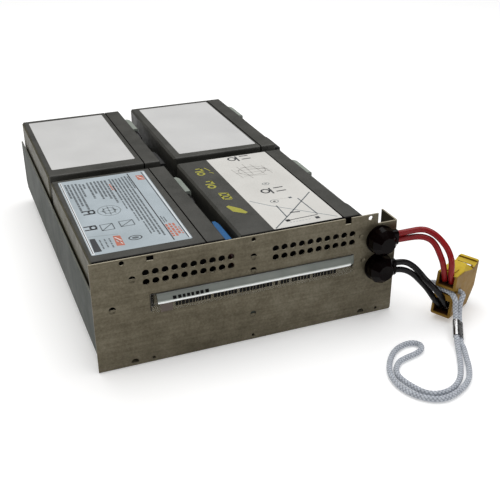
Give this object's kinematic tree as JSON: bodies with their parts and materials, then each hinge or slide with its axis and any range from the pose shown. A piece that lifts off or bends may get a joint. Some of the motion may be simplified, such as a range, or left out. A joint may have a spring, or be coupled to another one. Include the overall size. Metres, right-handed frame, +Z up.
{
  "type": "ups battery cartridge",
  "caption": "Battery drawer for a rack UPS: steel tray and vented front panel, sealed packs on their sides, lead pairs to a two-pole connector with a wrist lanyard.",
  "frame": {"origin": "middle of the footprint, on the surface that the cartridge stands on", "axes": "+X to the right along the front panel, +Y from the panel to the rear (insertion direction), +Z up"},
  "size_m": [0.2993, 0.4417, 0.085],
  "materials": {
    "zinc_steel": "zinc-plated sheet, faint vertical grain",
    "pack_case": "fine moulded texture",
    "foam": "closed-cell foam",
    "terminal_metal": "tin-plated",
    "clear_boot": "hazy vinyl",
    "blue_boot": "satin vinyl",
    "black_boot": "satin vinyl",
    "relief_black": "moulded, slightly glossy",
    "connector_yellow": "moulded nylon",
    "braid": "braided cord",
    "ferrule_metal": "polished",
    "clear_film": "clear film",
    "label_film": "matt film",
    "lead_red": "smooth PVC insulation",
    "lead_black": "smooth PVC insulation"
  },
  "bodies": {
    "root": {"tray": "zinc_steel", "front_panel": "zinc_steel", "runner_left": "zinc_steel", "runner_right": "zinc_steel", "battery_front_left": "pack_case", "battery_front_right": "pack_case", "battery_rear_left": "pack_case", "battery_rear_right": "pack_case", "foam_strips": "foam", "terminals": "terminal_metal", "boots_clear": "clear_boot", "boot_blue": "blue_boot", "boots_black": "black_boot", "bushing_upper": "relief_black", "bushing_lower": "relief_black", "connector_housing": "connector_yellow", "connector_contacts": "terminal_metal", "lanyard_neck": "braid", "lanyard_loop": "braid", "lanyard_ferrule": "ferrule_metal", "handle_strip": "clear_film", "label_front_left": "label_film", "label_rear_left": "label_film", "label_rear_right": "label_film", "label_front_right": "label_film", "inner_lead_red_a": "lead_red", "inner_lead_red_b": "lead_red", "inner_lead_black_a": "lead_black", "inner_lead_black_b": "lead_black", "jumper_left": "lead_black", "jumper_right": "lead_black", "lead_red_outer": "lead_red", "lead_red_inner": "lead_red", "lead_black_upper": "lead_black", "lead_black_lower": "lead_black"}
  },
  "joints": []
}
